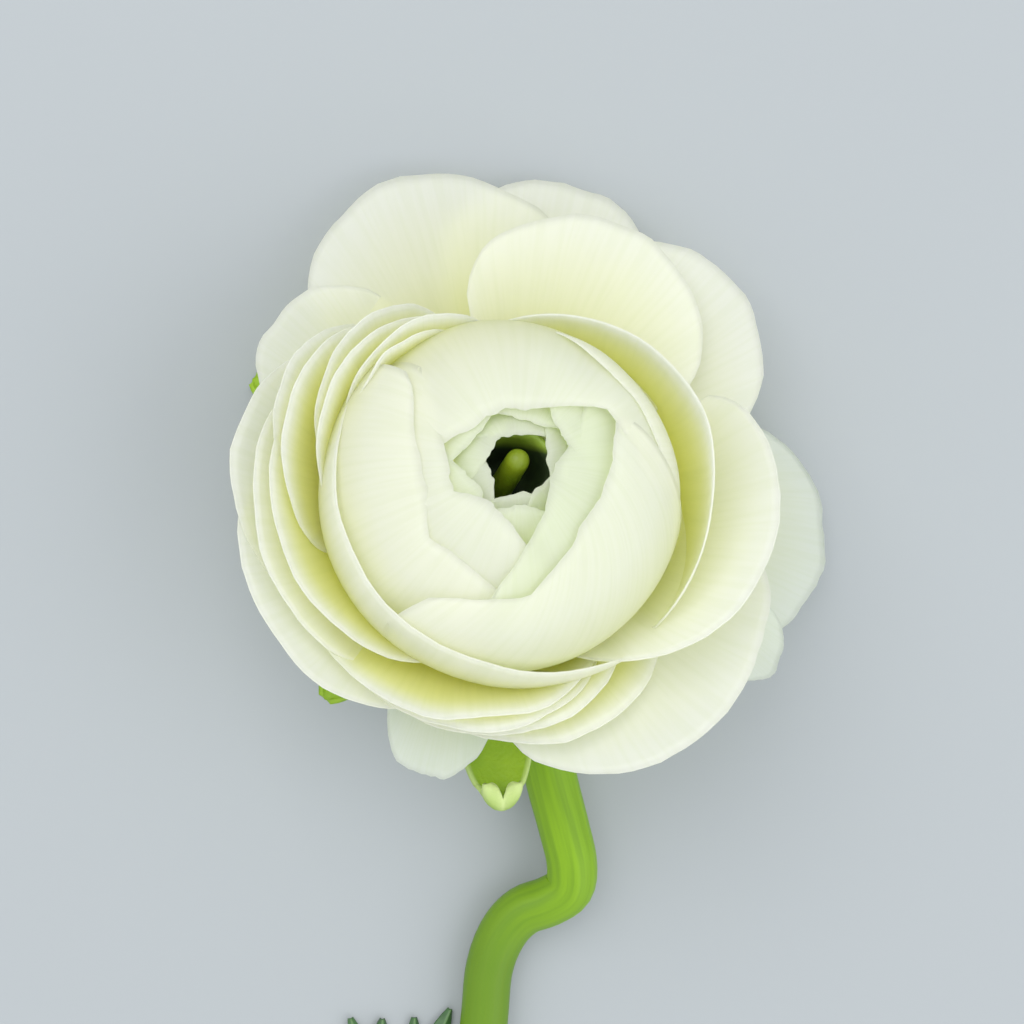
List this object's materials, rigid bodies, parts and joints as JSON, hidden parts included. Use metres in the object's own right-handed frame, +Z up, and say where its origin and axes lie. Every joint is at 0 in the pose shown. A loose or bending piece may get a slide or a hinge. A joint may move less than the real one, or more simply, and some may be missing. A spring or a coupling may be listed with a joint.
{
  "type": "ranunculus flower",
  "caption": "Cut ranunculus flower lying on a surface: layered bloom facing up on reflexed sepals, kinked stem along the surface, one divided leaf.",
  "frame": {"origin": "on the surface, below the middle of the flower's bounding box", "axes": "+Z up from the surface, -Y along the stem to its cut end, +Y towards the bloom"},
  "size_m": [0.0728, 0.1776, 0.0405],
  "materials": {
    "petals": "soft satin ivory petal",
    "pistil": "smooth green",
    "calyx": "matt green with fine hairs",
    "stem": "satin green, slightly ribbed",
    "leaf": "matt dark green"
  },
  "bodies": {
    "root": {"petals": "petals", "pistil": "pistil", "calyx": "calyx", "stem": "stem", "leaf": "leaf"}
  },
  "joints": []
}
